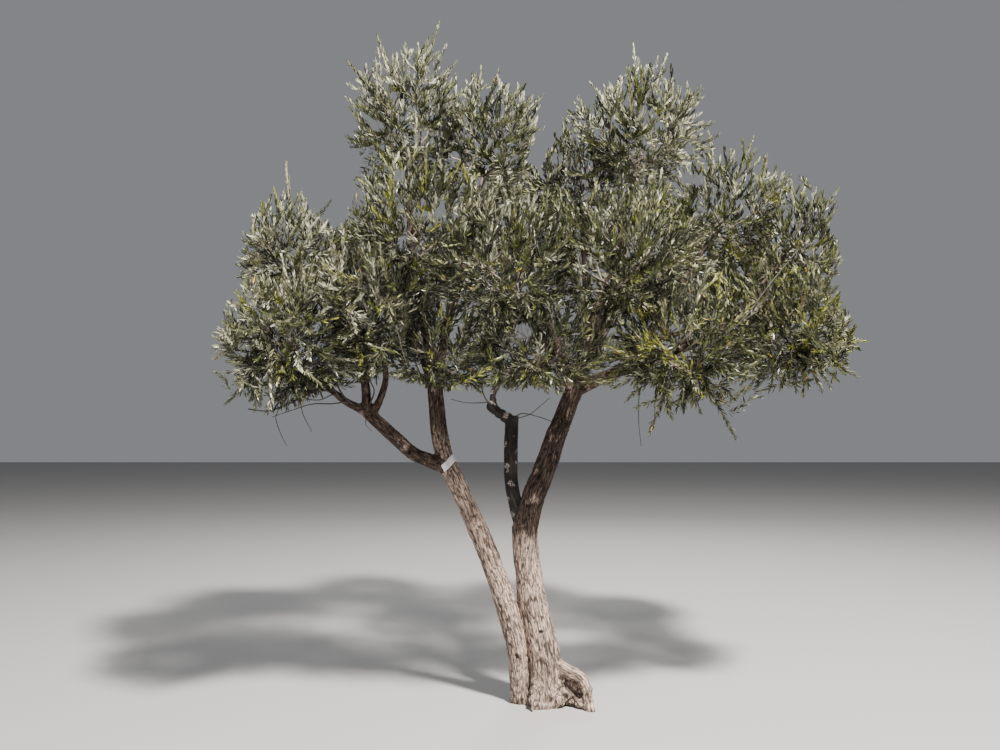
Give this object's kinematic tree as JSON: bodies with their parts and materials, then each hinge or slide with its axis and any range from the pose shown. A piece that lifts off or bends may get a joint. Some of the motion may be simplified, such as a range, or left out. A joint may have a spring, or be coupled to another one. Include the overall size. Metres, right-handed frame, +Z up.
{
  "type": "olive tree",
  "caption": "Mature olive tree: leaning stems on a flared root collar fork into boughs that carry a broad, open crown of slim silvery leaves.",
  "frame": {"origin": "middle of the flat cut under the trunk, at ground level", "axes": "+Z up along the height of the tree; +X to the right in the picture; -Y towards the viewer"},
  "size_m": [3.9412, 2.3579, 4.3],
  "materials": {
    "bark": "rough grey-brown fissured bark",
    "dead_wood": "rough weathered dark wood",
    "leaves": "satin grey-green above, silvery below"
  },
  "bodies": {
    "root": {"trunk": "bark", "left_stem": "bark", "surface_root": "bark", "right_bough": "bark", "mid_bough": "dead_wood", "mid_arm": "bark", "left_bough": "bark", "left_low_bough": "bark", "left_rise_bough": "bark", "left_inner_bough": "bark", "top_left_bough": "bark", "top_centre_bough": "bark", "mid_left_bough": "bark", "low_left_bough": "bark", "back_left_bough": "bark", "top_right_bough": "bark", "notch_bough": "bark", "centre_right_bough": "bark", "centre_bough": "bark", "low_centre_bough": "bark", "right_reach_bough": "bark", "right_mid_bough": "bark", "right_far_bough": "bark", "right_top_bough": "bark", "low_right_bough": "bark", "back_centre_bough": "bark", "back_right_bough": "bark", "back_far_bough": "bark", "left_low_mass": "leaves", "left_top_mass": "leaves", "left_inner_mass": "leaves", "top_left_mass": "leaves", "top_centre_mass": "leaves", "mid_left_mass": "leaves", "centre_mass": "leaves", "top_right_mass": "leaves", "notch_mass": "leaves", "right_top_mass": "leaves", "right_far_mass": "leaves", "right_mid_mass": "leaves", "centre_right_mass": "leaves", "low_centre_mass": "leaves", "low_right_mass": "leaves", "low_left_mass": "leaves", "back_left_mass": "leaves", "back_centre_mass": "leaves", "back_right_mass": "leaves", "back_far_mass": "leaves", "back_low_mass": "leaves"}
  },
  "joints": []
}
